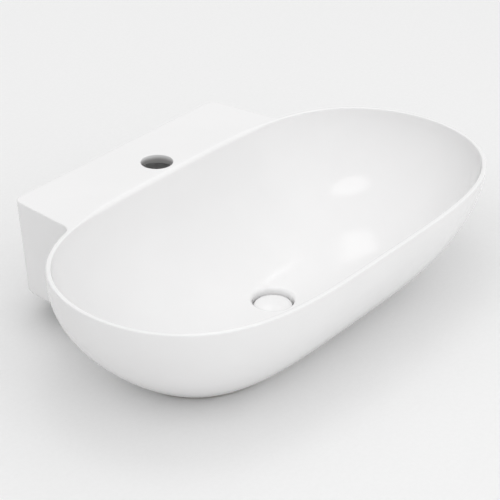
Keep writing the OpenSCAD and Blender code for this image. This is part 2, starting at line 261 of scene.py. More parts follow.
def glazeMaterial(name, look=glazeLook):
    board = Look(name)
    x, y, height = board.split(board.place)
    drift = board.ramp(board.noise(look["drift"], 2), 0.35, 0.65)
    grain = board.ramp(board.noise(look["grain"]), 0.3, 0.7)
    pits = board.noise(look["pits"], 1)
    glazed = board.ramp(height, look["bareBelow"], look["bareBelow"] * 2)
    bare = board.mix(grain * 0.35, look["body"], look["bodyDark"])
    coated = board.mix(glazed, bare, board.mix(drift, look["white"], look["pooled"]))
    # painted shade: inside the tap hole, below a set height, the colour turns dark grey in place of the
    # hole's shadow
    fromTap = ((x - look["boreAt"][0]).squared() + (y - look["boreAt"][1]).squared()) ** 0.5
    outside = board.ramp(fromTap, look["boreRadius"] - look["boreEdge"], look["boreRadius"])
    above = board.ramp(height, look["boreShadeFrom"], look["boreShadeTo"])
    shine = spread(board.ramp(pits, 0.35, 0.7), *look["gloss"])
    ripple = board.bump(board.noise(look["waves"], 2), *look["ripple"])
    relief = board.bump(grain * (1 - glazed) * 4 + pits * 0.12, *look["relief"], Normal=ripple)
    return board.finish({"Base Color": board.mix(outside.atLeast(above), look["bore"], coated),
                         "Roughness": glazed * shine + (1 - glazed) * look["bodyRoughness"],
                         "Normal": relief})


chromeLook = {
    "tone": (0.78, 0.79, 0.80, 1),
    "gloss": (0.05, 0.12),
    "relief": (0.06, 0.0001),
    "smears": 60,
    "grain": 2500,
}


def chromeMaterial(name, look=chromeLook):
    board = Look(name)
    smear = board.ramp(board.noise(look["smears"], 4), 0.35, 0.7)
    return board.finish({"Base Color": look["tone"], "Metallic": 1,
                         "Roughness": spread(smear, *look["gloss"]),
                         "Normal": board.bump(board.noise(look["grain"], 2), *look["relief"])})


brassLook = {
    "bright": (0.78, 0.60, 0.30, 1),
    "dull": (0.60, 0.43, 0.20, 1),
    "gloss": (0.24, 0.40),
    "relief": (0.12, 0.0001),
    "patches": 120,
    "toolMarks": 16000,       # radians in a metre, so the marks are 0.4 mm apart
    "grain": 3000,
}


def brassMaterial(name, look=brassLook):
    board = Look(name)
    _, _, height = board.split(board.place)
    lathe = (height * look["toolMarks"]).sine() * 0.5 + 0.5
    patch = board.ramp(board.noise(look["patches"], 4), 0.35, 0.68)
    relief = lathe + board.noise(look["grain"], 2) * 0.5
    return board.finish({"Base Color": board.mix(patch, look["bright"], look["dull"]), "Metallic": 1,
                         "Roughness": spread(patch, *look["gloss"]),
                         "Normal": board.bump(relief, *look["relief"])})


rubberLook = {
    "black": (0.018, 0.018, 0.019, 1),
    "dusty": (0.05, 0.05, 0.052, 1),
    "gloss": (0.62, 0.77),
    "relief": (0.35, 0.0002),
    "dust": 300,
    "grain": 4200,
}


def rubberMaterial(name, look=rubberLook):
    board = Look(name)
    dust = board.ramp(board.noise(look["dust"], 5), 0.45, 0.75)
    return board.finish({"Base Color": board.mix(dust * 0.5, look["black"], look["dusty"]),
                         "Roughness": spread(dust, *look["gloss"]),
                         "Normal": board.bump(board.noise(look["grain"], 2), *look["relief"])})


plasticLook = {
    "white": (0.80, 0.80, 0.77, 1),
    "shaded": (0.74, 0.74, 0.70, 1),
    "gloss": (0.34, 0.44),
    "relief": (0.12, 0.0001),
    "flow": 90,
    "grain": 3500,
}


def plasticMaterial(name, look=plasticLook):
    board = Look(name)
    flow = board.ramp(board.noise(look["flow"]), 0.35, 0.65)
    return board.finish({"Base Color": board.mix(flow, look["white"], look["shaded"]),
                         "Roughness": spread(flow, *look["gloss"]),
                         "Normal": board.bump(board.noise(look["grain"], 2), *look["relief"])})


steelLook = {
    "bright": (0.62, 0.62, 0.64, 1),
    "dull": (0.48, 0.48, 0.50, 1),
    "gloss": (0.22, 0.32),
    "relief": (0.1, 0.0001),
    "patches": 400,
    "drawn": 1800,
}


def steelMaterial(name, look=steelLook):
    board = Look(name)
    tone = board.ramp(board.noise(look["patches"]), 0.35, 0.65)
    return board.finish({"Base Color": board.mix(tone, look["bright"], look["dull"]), "Metallic": 1,
                         "Roughness": spread(tone, *look["gloss"]),
                         "Normal": board.bump(board.noise(look["drawn"]), *look["relief"])})


glaze = glazeMaterial("glazedCeramic")
capGlaze = glazeMaterial("capGlaze")
chrome = chromeMaterial("chromedBrass")
brass = brassMaterial("turnedBrass")
rubber = rubberMaterial("blackRubber")
plastic = plasticMaterial("whitePlastic")
steel = steelMaterial("springSteel")
print("materials made")


# The basin: sheets that run from the waste hole over the rim, down the outside and back under it

basinLow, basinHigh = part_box("basin")
ledgeDepth = 0.080
basinSizes = {
    "bowlWidth": basinHigh.x - basinLow.x,
    "bowlDepth": basinHigh.y - basinLow.y - ledgeDepth,
    "bowlHeight": basinHigh.z,
    "floorHeight": 0.027,
    "floorFall": 0.0349,       # for each metre towards the waste
    "rimThickness": 0.005,
    "edgeRadius": 0.0015,
    "ledgeLip": 0.005,         # rounding where the ledge runs down into the bowl
    "lipHolds": 38.0,          # degrees from the back, where that rounding begins to shrink
    "lipEnds": 52.0,           # and where the rim is plain again
    "wasteSetBack": 0.006,
    "footWidth": 0.356,
    "footDepth": 0.150,
    "footSetBack": 0.015,
    "footBand": 0.016,
    "footRecess": 0.015,
    "footEdge": 0.002,
    "footDraft": 0.004,        # of the recess, over its whole height
    "ledgeDepth": ledgeDepth,
    "ledgeWidth": 0.320,
    "ledgeFlare": 0.0998,      # sideways per metre of depth
    "ledgeDraft": 0.0699,      # inwards per metre of height
    "ledgeGap": 0.024,
    "ledgePlate": 0.010,
    "ledgeWall": 0.009,
    "cornerBlend": 0.015,
    "sideBlend": 0.011,
    "lowerEdge": 0.008,
    "hollowCorner": 0.012,
    "hollowArch": 0.006,
    "hollowSkin": 0.0004,      # of ceramic between the hollow and the bowl's outside
    "hollowBelow": 0.006,      # how far each cutter goes past the ceramic
    "coreBelow": 0.001,
    "tapRadius": 0.0175,
    "tapSetBack": 0.022,
    "tapEdge": 0.001,
    "tapAbove": 0.002,
    "tapBelow": 0.004,
    "holeRadius": 0.0185,
    "mouthRadius": 0.0225,
    "mouthLip": 0.004,
    "mouthMargin": 0.0015,     # level floor round the lip
    "mouthDepth": 0.0185,
    "bossRadius": 0.036,
    "bossGap": 0.002,
    "flatShare": 0.9989,       # share of the bowl's depth at which its floor turns level
    "columns": 400,
}
# powers that shape the bowl's walls: first of the depth, then of how full the section is
bowlCurves = {
    "outsideDepth": 2.2,
    "insideWidth": (1.7, 3.6),
    "insideDepth": (1.5, 3.1),
    "floorFall": 6,
    "rows": 1.4,               # crowds the rows of faces towards the floor's turn
}
nearZero = 0.02                # keeps the distance to a straight side from running off
weldDistance = 2e-6


def gridPlace(board):
    # the angle round the bowl and the share of the way down the sheet
    x, y, _ = board.split(board.make("GeometryNodeInputPosition"))
    return (x + 0.5) * (2 * math.pi), y + 0.5


class Outline:
    # a node group that gives the point of one ring at the grid's angle, from a few values of its own
    # and from sizes of the basin, each of which becomes an input when it is first asked for
    def __init__(self, name, *ownKeys):
        self.board = GroupBoard(name, "Vector")
        self.ownKeys = ownKeys
        self.values = {}
        turn, _ = gridPlace(self.board)
        self.cos, self.sin = turn.cosine(), turn.sine()

    def __getitem__(self, key):
        if key not in self.values:
            self.values[key] = self.board.input(key)
        return self.values[key]

    def oval(self, a, b):
        # (x/a)^4 + (y/b)^2 = 1, as a distance from its centre
        c, s = (self.cos / a) ** 4, (self.sin / b).squared()
        return (2 / (s + (s.squared() + c * 4) ** 0.5)) ** 0.5

    def side(self, half, flare):
        # a straight side at this distance from the middle, which opens by flare towards the front
        return half / (self.cos.size() + self.sin * flare).atLeast(nearZero)

    def finish(self, radius, centreY, level, rise=None):
        # rise gives how much higher a point lies for its place across the bowl
        x, y = radius * self.cos, radius * self.sin + centreY
        point = self.board.point(x, y, level + rise(x, y) if rise else level)
        self.board.add("NodeGroupOutput", {"Vector": point})
        return self

    def on(self, board, sizes, own):
        values = {key: sizes[key] for key in self.values if key not in self.ownKeys}
        values.update(zip(self.ownKeys, own))
        return board.make("GeometryNodeGroup", values, node_tree=self.board.tree)


def bulge(first, second, blend):
    # what is added to the larger, or taken from the smaller, to round the line where they meet
    return (blend - (first - second).size()).atLeast(0).squared() / (blend * 4)


def bowlOutside(line, depth):
    # distance from the bowl's centre and the centre's place, at a depth below the rim
    fall = (depth - line["edgeRadius"]).atLeast(0) / (line["bowlHeight"] - line["edgeRadius"])
    a = (line["bowlWidth"] - (line["bowlWidth"] - line["footWidth"]) * fall.squared()) / 2
    narrower = (line["bowlDepth"] - line["footDepth"]) * fall ** bowlCurves["outsideDepth"]
    b = (line["bowlDepth"] - narrower) / 2
    return line.oval(a, b), line["footSetBack"] * fall - line["wasteSetBack"]


def rimSlant(line):
    # how much longer a step along the radius is than the same step square to the rim
    a, b = line["bowlWidth"] / 2, line["bowlDepth"] / 2
    rim = line.oval(a, b)
    x, y = rim * line.cos / a, rim * line.sin / b
    rise = ((x ** 3 * 4 / a).squared() + (y * 2 / b).squared()) ** 0.5
    return rim * rise / (x ** 4 * 4 + y.squared() * 2), rim


def bareBowl():
    line = Outline("bareBowl", "depth", "growth")
    radius, centreY = bowlOutside(line, line["depth"])
    return line.finish(radius + line["growth"], centreY, line["bowlHeight"] - line["depth"])


def bowlWithLedge():
    line = Outline("bowlWithLedge", "depth", "rimInset", "ledgeInset")
    depth = line["depth"]
    bowl, centreY = bowlOutside(line, depth)
    back = line["bowlDepth"] / 2 - line["wasteSetBack"] + line["ledgeDepth"] - centreY
    rear = back / line.sin.atLeast(nearZero)
    half = line["ledgeWidth"] / 2 - line["ledgeDraft"] * depth + line["ledgeFlare"] * back
    side = line.side(half, line["ledgeFlare"])
    behind = line.board.math("GREATER_THAN", line.sin, nearZero)
    ledge = (rear.atMost(side) - bulge(rear, side, line["cornerBlend"])) * behind - line["ledgeInset"]
    slant, _ = rimSlant(line)
    radius = bowl.atLeast(ledge) + bulge(bowl, ledge, line["sideBlend"]) - slant * line["rimInset"]
    return line.finish(radius, centreY, line["bowlHeight"] - depth)


def bowlInside():
    line = Outline("bowlInside", "depth", "outset")
    depth = line["depth"]
    whole = depth / (line["bowlHeight"] - line["floorHeight"])
    share = whole.atMost(line["flatShare"])
    mouthEdge = line["mouthRadius"] + line["mouthLip"]
    slant, rim = rimSlant(line)
    a, b = line["bowlWidth"] / 2 - line["rimThickness"], line["bowlDepth"] / 2 - line["rimThickness"]
    (fallA, fullA), (fallB, fullB) = bowlCurves["insideWidth"], bowlCurves["insideDepth"]
    narrowed = line.oval(a * (1 - share ** fallA) ** (1 / fullA), b * (1 - share ** fallB) ** (1 / fullB))
    radius = (rim - slant * line["rimThickness"]) * narrowed / line.oval(a, b)
    centreY = line["wasteSetBack"] * share - line["wasteSetBack"]
    radius = (radius ** 4 + (mouthEdge + line["mouthMargin"]) ** 4) ** 0.25 + slant * line["outset"]
    slope = line["floorFall"] * whole.atLeast(0) ** bowlCurves["floorFall"]
    return line.finish(radius, centreY, line["bowlHeight"] - depth,
                       lambda x, y: ((x.squared() + y.squared()) ** 0.5 - mouthEdge).atLeast(0) * slope)


def footOval():
    line = Outline("footOval", "inset", "level")
    radius = line.oval(line["footWidth"] / 2 - line["inset"], line["footDepth"] / 2 - line["inset"])
    return line.finish(radius, line["footSetBack"] - line["wasteSetBack"], line["level"])


def plainCircle():
    line = Outline("plainCircle", "radius", "level", "centreY")
    return line.finish(line["radius"], line["centreY"], line["level"])


def hollowSpan(size):
    # from a place inside the bowl to the ledge's rear wall
    rearY = size["bowlDepth"] / 2 - size["wasteSetBack"] + size["ledgeDepth"] - size["ledgeWall"]
    return size["bowlDepth"] / 4, rearY


def ledgeInside():
    line = Outline("ledgeInside", "level", "inset")
    frontY, rearY = hollowSpan(line)
    centreY, reach = (rearY + frontY) / 2, (rearY - frontY) / 2
    depth = line["bowlHeight"] - line["level"]
    half = (line["ledgeWidth"] / 2 - line["ledgeWall"] - line["ledgeDraft"] * depth
            + line["ledgeFlare"] * (reach + line["ledgeWall"]))
    end = reach / line.sin.size().atLeast(nearZero)
    side = line.side(half, line["ledgeFlare"])
    radius = end.atMost(side) - bulge(end, side, line["hollowCorner"]) - line["inset"]
    return line.finish(radius, centreY, line["level"])


class Casting:
    # one tree of sheets; a sheet's point may depend on the angle round and the share of the way along
    def __init__(self, name, sizes):
        self.board = GroupBoard(name)
        self.size = self.board.inputs(sizes)
        self.turn, self.along = gridPlace(self.board)
        swing = self.along * (math.pi / 2)         # a quarter turn, for the rounded edges
        self.sinQ, self.cosQ = swing.sine(), swing.cosine()
        self.outside, self.bowl, self.inside, self.foot, self.ring, self.hollow = [
            self.ringOf(make()) for make in
            (bowlWithLedge, bareBowl, bowlInside, footOval, plainCircle, ledgeInside)]

    def ringOf(self, outline):
        return lambda *own: outline.on(self.board, self.size, own)

    def between(self, first, second):
        values = {0: self.along, 4: first, 5: second}
        return self.board.make("ShaderNodeMix", values, 1, data_type="VECTOR")

    def weld(self, sheets, columns=None):
        # each sheet is a number of rows of faces and where their points go
        grids = []
        for rows, point in sheets:
            across = (columns or self.size["columns"]) + 1
            counts = {"Size X": 1, "Size Y": 1, "Vertices X": across, "Vertices Y": rows + 1}
            grid = self.board.make("GeometryNodeMeshGrid", counts)
            values = {"Geometry": grid, "Position": point}
            grids.append(self.board.make("GeometryNodeSetPosition", values))
        joined = self.board.make("GeometryNodeJoinGeometry", {"Geometry": grids})
        values = {"Geometry": joined, "Distance": weldDistance}
        return self.board.make("GeometryNodeMergeByDistance", values)

    def cut(self, solid, cutters):
        return self.board.make("GeometryNodeMeshBoolean", {"Mesh 1": solid, "Mesh 2": cutters},
                               operation="DIFFERENCE", solver="MANIFOLD")


def castBody(cast):
    size, along, sinQ, cosQ, between = cast.size, cast.along, cast.sinQ, cast.cosQ, cast.between
    outside, bowl, inside, footRing, ring = cast.outside, cast.bowl, cast.inside, cast.foot, cast.ring
    height, edge, lower, gap = size["bowlHeight"], size["edgeRadius"], size["lowerEdge"], size["ledgeGap"]
    floorLevel, mouth, mouthLip = size["floorHeight"], size["mouthRadius"], size["mouthLip"]
    hole, boss, bossGap = size["holeRadius"], size["bossRadius"], size["bossGap"]
    band, footEdge, recess = size["footBand"], size["footEdge"], size["footRecess"]
    draft = size["footDraft"]
    drop = height - floorLevel
    mouthLevel = floorLevel - size["mouthDepth"]

    # the lip is rounder along the ledge than along the free rim
    fromBack = (cast.turn - math.pi / 2).size() * (180 / math.pi)
    onLedge = 1 - cast.board.ramp(fromBack, size["lipHolds"], size["lipEnds"])
    lip = edge + (size["ledgeLip"] - edge) * onLedge
    level = drop * size["flatShare"]
    lastTurn = cast.board.math("ARCSINE", (level - lip) / (drop - lip))
    wallDepth = lip + (drop - lip) * (lastTurn * (1 - along ** bowlCurves["rows"])).sine()
    ledgeHeight = height - gap
    body = cast.weld([
        # up through the waste hole
        (4, between(ring(hole, bossGap), ring(hole, mouthLevel))),
        (2, between(ring(hole, mouthLevel), ring(mouth, mouthLevel))),
        (5, between(ring(mouth, mouthLevel), ring(mouth, floorLevel - mouthLip))),
        (10, ring(mouth + mouthLip * (1 - cosQ), floorLevel - mouthLip * (1 - sinQ))),
        # over the floor, up the bowl's wall and over the rim
        (6, between(ring(mouth + mouthLip, floorLevel), inside(level, 0))),
        (54, inside(wallDepth, 0)),
        (9, inside(lip * (1 - sinQ), lip * (1 - cosQ))),
        (18, between(inside(0, lip), outside(0, edge))),
        (7, outside(edge * (1 - cosQ), edge * (1 - sinQ))),
        # down the outside to the foot
        (30, outside(edge + (ledgeHeight - lower - edge) * along)),
        (6, outside(ledgeHeight - lower * (1 - sinQ), 0, lower * (1 - cosQ))),
        (4, between(outside(ledgeHeight, 0, lower), bowl(ledgeHeight))),
        (12, bowl(ledgeHeight + gap * along)),
        (3, between(bowl(height), footRing(band - footEdge, 0))),
        # up into the recess and round the boss
        (4, footRing(band - footEdge * (1 - sinQ), footEdge * (1 - cosQ))),
        (5, footRing(band + draft * along, footEdge + (recess - footEdge) * along)),
        (5, between(footRing(band + draft, recess), ring(boss + draft / 2, recess))),
        (3, between(ring(boss + draft / 2, recess), ring(boss, bossGap))),
        (3, between(ring(boss, bossGap), ring(hole, bossGap))),
    ])
    return cast.board.make("GeometryNodeFlipFaces", {"Mesh": body})


def tapCutter(cast):
    # leaves the hole a rounded edge
    size, along, ring = cast.size, cast.along, cast.ring
    radius, edge, top = size["tapRadius"], size["tapEdge"], size["bowlHeight"]
    low = top - size["ledgePlate"] - size["tapBelow"]
    above = top + size["tapAbove"]
    centreY = size["bowlDepth"] / 2 - size["wasteSetBack"] + size["tapSetBack"]
    return cast.weld([
        (1, ring(radius * along, low, centreY)),
        (1, cast.between(ring(radius, low, centreY), ring(radius, top - edge, centreY))),
        (6, ring(radius + edge * (1 - cast.cosQ), top - edge * (1 - cast.sinQ), centreY)),
        (1, cast.between(ring(radius + edge, top, centreY), ring(radius + edge, above, centreY))),
        (1, ring((radius + edge) * (1 - along), above, centreY)),
    ], columns=96)


def ledgeCutter(cast):
    # a block with round corners, less the bowl, which keeps a thin skin over it
    size, along, ring, hollow, bowl = cast.size, cast.along, cast.ring, cast.hollow, cast.bowl
    height, arch, skin = size["bowlHeight"], size["hollowArch"], size["hollowSkin"]
    low = size["ledgeGap"] - size["hollowBelow"]
    ceiling = height - size["ledgePlate"]
    under = height + size["coreBelow"]
    frontY, rearY = hollowSpan(size)
    middleY = (rearY + frontY) / 2
    block = cast.weld([
        (2, cast.between(ring(0, low, middleY), hollow(low))),
        (10, hollow(low + (ceiling - arch - low) * along)),
        (5, hollow(ceiling - arch * (1 - cast.sinQ), arch * (1 - cast.cosQ))),
        (3, cast.between(hollow(ceiling, arch), ring(0, ceiling, middleY))),
    ], columns=240)
    core = cast.weld([
        (1, cast.between(ring(0, height - under, 0), bowl(under, skin))),
        (30, bowl(under * (1 - along), skin)),
        (1, cast.between(bowl(0, skin), ring(0, height, 0))),
    ], columns=200)
    return cast.cut(block, core)


def castBasin(sizes, material):
    cast = Casting("basinCasting", sizes)
    whole = cast.cut(castBody(cast), [tapCutter(cast), ledgeCutter(cast)])
    return grow("basinCasting", cast.board, whole, sizes, material)


basinPiece = soften(castBasin(basinSizes, glaze))
stands(basinPiece, "root", "basin")
print("basin cast:", len(basinPiece.data.polygons), "faces")


# Turned parts of the waste, all round its axis

hairline = 1e-6                # a distance below this counts as none


def rounded(corners, steps=4, most=0.48):
    # corners go once round a section as (radius, height) or (radius, height, rounding);
    # a rounding takes at most this share of a side, so that two of them never meet
    outline = []
    for index, (x, z, *rounding) in enumerate(corners):
        here = Vector((x, z))
        before = Vector(corners[index - 1][:2]) - here
        after = Vector(corners[(index + 1) % len(corners)][:2]) - here
        reach = min(*rounding, before.length * most, after.length * most) if rounding else 0
        if reach <= 0:
            outline.append((x, z))
            continue
        start, end = here + before.normalized() * reach, here + after.normalized() * reach
        for step in range(steps + 1):
            share = step / steps
            outline.append(tuple(start.lerp(here, share).lerp(here.lerp(end, share), share)))
    return outline


def turned(name, corners, material, slices=96, shape=None):
    # a solid of revolution; shape may move a point of the section at an angle round the axis
    section = rounded(corners)
    points, rings, faces = [], [], []
    for radius, level in section:
        onAxis = radius < hairline
        rings.append([len(points) + (0 if onAxis else index) for index in range(slices)])
        for index in range(1 if onAxis else slices):
            angle = 2 * math.pi * index / slices
            r, z = shape(radius, level, angle) if shape else (radius, level)
            points.append((r * math.cos(angle), r * math.sin(angle), z))
    for index, ring in enumerate(rings):
        after = rings[(index + 1) % len(rings)]
        if max(section[index][0], section[(index + 1) % len(rings)][0]) < hairline:
            continue
        for step in range(slices):
            turn = (step + 1) % slices
            corner = [ring[step], ring[turn], after[turn], after[step]]
            faces.append(list(dict.fromkeys(corner)))
    mesh = bpy.data.meshes.new(name)
    mesh.from_pydata(points, [], faces)
    mesh.materials.append(material)
    facing = bmesh.new()
    facing.from_mesh(mesh)
    bmesh.ops.recalc_face_normals(facing, faces=facing.faces)
    facing.to_mesh(mesh)
    facing.free()
    return soften(placed(name, mesh))


def wall(radius, low, high, step):
    # points along a straight wall, close enough together for a thread
    count = max(1, math.ceil(abs(high - low) / step))
    return [(radius, low + (high - low) * index / count) for index in range(count + 1)]


threadFlank = {"slope": 1.7, "level": 0.35}     # of its section, which has level crests and roots


def threaded(radius, low, high, pitch, depth, also=None):
    # moves the wall at this radius in by up to depth, or out where depth is negative
    def shape(r, level, angle):
        if abs(r - radius) > hairline or not low < level < high:
            return also(r, level, angle) if also else (r, level)
        wave = (level / pitch - angle / (2 * math.pi)) % 1
        flank = min(1, max(0, threadFlank["slope"] * abs(2 * wave - 1) - threadFlank["level"]))
        fade = min(1, (level - low) / pitch, (high - level) / pitch)
        return r - depth * fade * flank, level
    return shape


def fuse(base, others, operation="UNION"):
    # joins or cuts closed solids, then keeps one plain mesh
    for other in others:
        step = base.modifiers.new("fuse", "BOOLEAN")
        step.operation = operation
        step.solver = "MANIFOLD"
        step.object = other
    graph = bpy.context.evaluated_depsgraph_get()
    base.data = bpy.data.meshes.new_from_object(base.evaluated_get(graph))
    base.modifiers.clear()
    for other in others:
        bpy.data.objects.remove(other)
    return soften(base, sharpAngle=32)


def bar(name, low, high, rounding, turn=0):
    # a block with rounded edges between two corners, turned about the axis
    shape = bmesh.new()
    bmesh.ops.create_cube(shape, size=1)
    for point in shape.verts:
        point.co = Vector([a + (b - a) * (c + 0.5) for a, b, c in zip(low, high, point.co)])
    bmesh.ops.bevel(shape, geom=shape.edges, offset=rounding, segments=3, affect="EDGES")
    bmesh.ops.rotate(shape, verts=shape.verts, matrix=Matrix.Rotation(math.radians(turn), 3, "Z"))
    mesh = bpy.data.meshes.new(name)
    shape.to_mesh(mesh)
    shape.free()
    return placed(name, mesh)


threadSizes = {
    "pitch": 0.00231,
    "depth": 0.0010,
    "step": 0.00024,
    "finePitch": 0.001,
    "fineDepth": 0.00045,
    "fineStep": 0.000125,
}
wasteSizes = {
    "shank": 0.018,
    "tip": 0.0005,
    "wall": 0.0028,
    "funnel": 0.0012,
    "funnelDepth": 0.0014,
    "threadDrop": 0.003,        # from the gasket to where the thread starts
    "hubDrop": 0.0105,
    "hubHeight": 0.014,
    "hubWall": 0.002,
    "housing": 0.008,
    "arm": 0.0035,
    "armDrop": 0.002,
    "overlap": 0.0006,          # of an arm with the hub and the shell
    "rod": 0.003,
    "play": 0.00005,
    "slipPlay": 0.0005,
}
bore = wasteSizes["shank"] - wasteSizes["wall"]
shankHole = wasteSizes["shank"] + wasteSizes["play"]
slipHole = wasteSizes["shank"] + wasteSizes["slipPlay"]
rodHole = wasteSizes["rod"] + wasteSizes["play"]


def wasteBody(sizes, thread, material):
    low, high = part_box("waste_body")
    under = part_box("flange_gasket")[1].z
    shank = sizes["shank"]
    corners = [(bore, low.z, 0.0005), (shank - sizes["tip"], low.z, 0.0003)]
    corners += wall(shank, low.z + sizes["tip"], under, thread["step"])
    corners += [(high.x, under, 0.0004), (high.x, high.z, 0.0008), (bore + sizes["funnel"], high.z, 0.0005),
                (bore, high.z - sizes["funnelDepth"], 0.0008)]
    cut = threaded(shank, low.z, under - sizes["threadDrop"], thread["pitch"], thread["depth"])
    shell = turned("wasteBody", corners, material, slices=144, shape=cut)
    hubTop = high.z - sizes["hubDrop"]
    hubLow = hubTop - sizes["hubHeight"]
    inner, outer = sizes["housing"] + sizes["play"], sizes["housing"] + sizes["hubWall"]
    hub = turned("hub", [(inner, hubLow, 0.0002), (outer, hubLow, 0.0006), (outer, hubTop, 0.0006),
                         (inner, hubTop, 0.0002)], material)
    half = sizes["arm"] / 2
    start, end = outer - sizes["overlap"], bore + sizes["overlap"]
    armLow, armTop = hubLow + sizes["armDrop"], hubTop - sizes["armDrop"]
    arms = [bar("arm", (start, -half, armLow), (end, half, armTop), 0.0008, turn)
            for turn in (0, 90, 180, 270)]
    return fuse(shell, [hub, *arms])


def washer(name, node, inner, material, rounding=0.0004):
    # a flat ring with soft edges
    low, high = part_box(node)
    corners = [(inner, low.z), (high.x, low.z), (high.x, high.z), (inner, high.z)]
    return turned(name, [(*spot, rounding) for spot in corners], material, slices=128)


ribSizes = {"count": 5, "depth": 0.0005, "margin": 0.0022, "steps": 8}


def ribbedWasher(sizes, material):
    # the soft washer seals against the ceramic with ribs round its upper face
    low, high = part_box("under_washer")
    corners = [(shankHole, low.z, 0.0004), (high.x, low.z, 0.0009), (high.x, high.z, 0.001)]
    start = high.x - sizes["margin"]
    width = (start - shankHole) / sizes["count"]
    for index in range(sizes["count"] * sizes["steps"]):
        place = index / sizes["steps"]
        drop = sizes["depth"] * (1 - math.cos(place * 2 * math.pi)) / 2
        corners.append((start - place * width, high.z - drop))
    corners.append((shankHole, high.z - sizes["depth"] / 2))
    return turned("underWasher", corners, material, slices=128)


nutSizes = {
    "face": 0.002,
    "chamfer": 0.0011,
    "corner": 0.0003,
    "step": 0.0005,         # between the rings that follow the cones
    "underside": 0.9,       # share of the flats' distance that stays plain
    "coneIn": 0.0002,
    "coneSlope": 1.8,
    "coneLeast": 0.96,      # share of the flats' distance that the cone leaves
}


def backNut(sizes, thread, material):
    low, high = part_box("backnut")
    flats = high.y
    faceLow = high.z - sizes["face"]
    chamfer = sizes["chamfer"]
    corners = [(flats * sizes["underside"], low.z)] + wall(high.x, low.z, faceLow, sizes["step"])
    corners += [(flats, faceLow), (flats, high.z, 0.0007), (shankHole + chamfer, high.z)]
    corners += wall(shankHole, high.z - chamfer, low.z + chamfer, thread["step"])
    corners += [(shankHole + chamfer, low.z)]

    def sixSides(radius, level, angle):
        if radius < flats + hairline:
            return radius, level
        flat = flats / math.cos(angle % (math.pi / 3) - math.pi / 6)
        cone = flats - sizes["coneIn"] + sizes["coneSlope"] * min(faceLow - level, level - low.z)
        return min(flat, high.x - sizes["corner"], max(cone, flats * sizes["coneLeast"])), level

    cut = threaded(shankHole, low.z + chamfer, high.z - chamfer, thread["pitch"], -thread["depth"], sixSides)
    return turned("backNut", corners, material, slices=240, shape=cut)


capSizes = {
    "edge": 0.0024,
    "edgeSteps": 12,
    "dome": 0.0015,
    "domeSteps": 16,
    "core": 0.01695,
    "boss": 0.0065,
    "sealPlay": 0.0005,
}
sealHole = capSizes["boss"] + capSizes["sealPlay"]


def plugCap(sizes, material):
    low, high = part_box("plug_cap")
    edge, dome, core = sizes["edge"], sizes["dome"], sizes["core"]
    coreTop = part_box("cap_core")[1].z
    corners = [(0, coreTop), (core, coreTop), (core, low.z, 0.0002), (high.x, low.z, 0.0006)]
    for step in range(sizes["edgeSteps"] + 1):
        angle = math.pi / 2 * step / sizes["edgeSteps"]
        corners.append((high.x - edge * (1 - math.cos(angle)),
                        high.z - dome - edge * (1 - math.sin(angle))))
    for step in range(1, sizes["domeSteps"] + 1):
        radius = (high.x - edge) * (1 - step / sizes["domeSteps"])
        corners.append((radius, high.z - dome * (radius / high.x) ** 2))
    return turned("plugCap", corners, material, slices=192)


def capCore(sizes, thread, material):
    low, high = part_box("cap_core")
    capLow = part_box("plug_cap")[0].z
    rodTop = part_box("plunger")[1].z + wasteSizes["play"]
    corners = [(0, rodTop)] + wall(rodHole, rodTop, low.z, thread["fineStep"])
    corners += [(sizes["boss"], low.z, 0.0006), (sizes["boss"], capLow, 0.0005), (high.x, capLow, 0.0003),
                (high.x, high.z, 0.0003), (0, high.z)]
    cut = threaded(rodHole, low.z, rodTop, thread["finePitch"], -thread["fineDepth"])
    return turned("capCore", corners, material, shape=cut)


latchSizes = {
    "teeth": 4,
    "tooth": 0.001,
    "toothWidth": 1.1,      # share of the head's radius
    "pilot": 0.0025,
    "head": 0.0028,
    "neck": 0.0006,
    "threadBelow": 0.002,   # the cap's core
    "tip": 0.0005,
}


def toothTop(sizes, headRadius, radius, angle):
    # how high the nearest wedge stands at a point: each rises across its width and drops straight
    width = headRadius * sizes["toothWidth"]
    rise = 0
    for index in range(sizes["teeth"]):
        turn = angle - 2 * math.pi * index / sizes["teeth"] + math.pi / 2
        across, outward = radius * math.sin(turn), radius * math.cos(turn)
        if outward > 0 and abs(across) <= width / 2:
            rise = max(rise, (across / width + 0.5) * sizes["tooth"])
    return rise


def spokes(inner, outer, level, count=5):
    # points along a level face, close enough together for the teeth
    return [(inner + (outer - inner) * index / count, level) for index in range(count + 1)]


def plungerRod(sizes, thread, material):
    # rod with a thread for the cap's core, above a head with notched underside
    low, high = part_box("plunger")
    rod = wasteSizes["rod"]
    head = high.x
    pilot = sizes["pilot"]
    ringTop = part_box("latch_ring")[1].z - sizes["tooth"]
    headLow = ringTop + wasteSizes["play"]
    headTop = headLow + sizes["head"]
    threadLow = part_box("cap_core")[0].z - sizes["threadBelow"]
    corners = [(0, low.z), (pilot, low.z, 0.0003), (pilot, headLow - 0.0002)]
    corners += spokes(pilot, head, headLow)
    corners += [(head, headTop, 0.0006), (rod, headTop, 0.0003), (rod, headTop + sizes["neck"])]
    corners += wall(rod, threadLow, high.z - sizes["tip"], thread["fineStep"])
    corners += [(rod - sizes["tip"], high.z), (0, high.z)]

    def notched(radius, level, angle):
        if abs(level - headLow) > hairline or radius < pilot + hairline:
            return radius, level
        return radius, level + toothTop(sizes, head, radius, angle)

    cut = threaded(rod, threadLow, high.z, thread["finePitch"], thread["fineDepth"], notched)
    return turned("plungerRod", corners, material, shape=cut)


def latchRing(sizes, material):
    low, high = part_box("latch_ring")
    bodyTop = high.z - sizes["tooth"]
    inner = sizes["pilot"] + wasteSizes["play"]
    corners = [(inner, low.z, 0.0002), (high.x, low.z, 0.0004)]
    corners += spokes(high.x, inner, bodyTop)

    def toothed(radius, level, angle):
        lift = toothTop(sizes, high.x, radius, angle) if abs(level - bodyTop) < hairline else 0
        return radius, level + lift

    return turned("latchRing", corners, material, shape=toothed)


